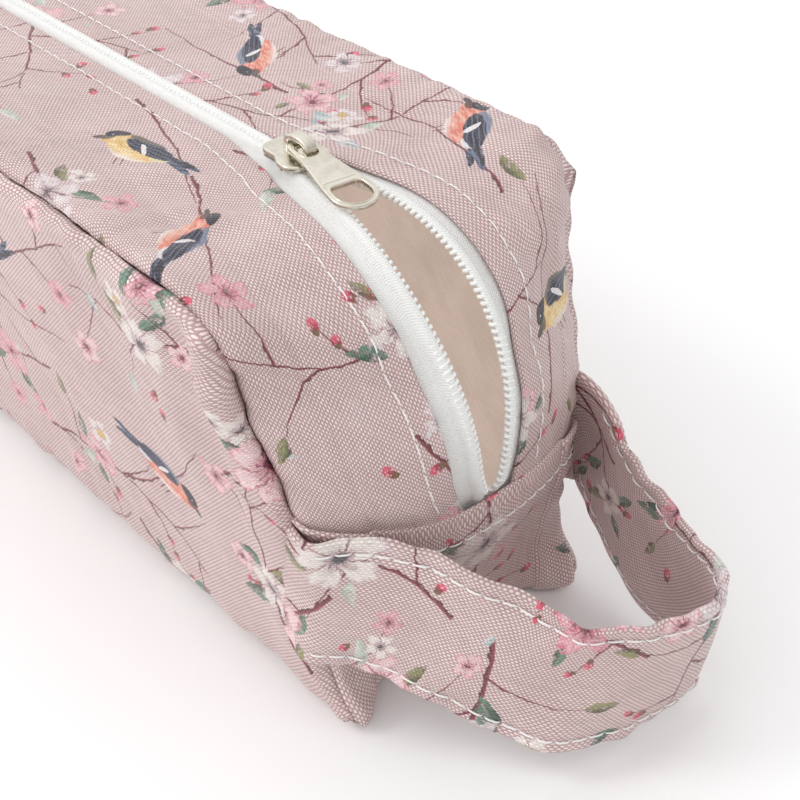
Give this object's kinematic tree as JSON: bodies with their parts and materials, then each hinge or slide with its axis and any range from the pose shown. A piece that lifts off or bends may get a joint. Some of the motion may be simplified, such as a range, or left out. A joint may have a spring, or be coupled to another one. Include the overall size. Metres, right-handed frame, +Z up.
{
  "type": "makeup bag",
  "caption": "Box-shaped printed fabric makeup bag with a long zip over the top and down both ends, a metal slider with a pull tab, and a looped wrist strap at one end.",
  "frame": {"origin": "centre of the flat base, on the ground", "axes": "+X along the zip towards the wrist strap, -Y out of the front side panel, +Z up"},
  "size_m": [0.2717, 0.0894, 0.0974],
  "materials": {
    "printed_cloth": "plain-woven polyester, dusty pink, small floral print",
    "lining_cloth": "plain tan lining cloth",
    "zip_tape": "white woven zip tape",
    "zip_coil": "white nylon coil, satin",
    "thread": "off-white sewing thread",
    "nickel": "polished nickel plate"
  },
  "bodies": {
    "shell": {"front_panel": "printed_cloth", "back_panel": "printed_cloth", "zip_gusset_front": "printed_cloth", "zip_gusset_back": "printed_cloth", "base_gusset": "printed_cloth", "lining_front_panel": "lining_cloth", "lining_back_panel": "lining_cloth", "lining_gusset_front": "lining_cloth", "lining_gusset_back": "lining_cloth", "lining_base": "lining_cloth", "zipper_tape_front": "zip_tape", "zipper_tape_back": "zip_tape", "zipper_coil_front": "zip_coil", "zipper_coil_back": "zip_coil", "topstitch_front": "thread", "topstitch_back": "thread", "junction_stitch_strap_end": "thread", "junction_stitch_far_end": "thread"},
    "slider": {"slider_body": "nickel", "slider_crown": "nickel"},
    "pull_tab": {"pull_tab": "nickel"},
    "strap": {"wrist_strap": "printed_cloth", "strap_stitch_lower_outer": "thread", "strap_stitch_lower_inner": "thread", "strap_stitch_upper_outer": "thread", "strap_stitch_upper_inner": "thread"}
  },
  "joints": [
    {"name": "slider_travel", "type": "slide", "parent": "shell", "child": "slider", "axis": [1, 0, 0], "range_m": [-0.128, 0.012], "deforming": ["zipper_coil_front", "zipper_coil_back", "zipper_tape_front", "zipper_tape_back"]},
    {"name": "tab_swing", "type": "hinge", "parent": "slider", "child": "pull_tab", "pos_m": [0.0642, 0, 0.09515], "axis": [0, -1, 0], "range_deg": [0, 170]},
    {"name": "strap_swing", "type": "hinge", "parent": "shell", "child": "strap", "pos_m": [0.105, 0, 0.035], "axis": [0, -1, 0], "range_deg": [0, 70], "deforming": ["wrist_strap", "strap_stitch_lower_outer", "strap_stitch_lower_inner", "strap_stitch_upper_outer", "strap_stitch_upper_inner"]}
  ]
}
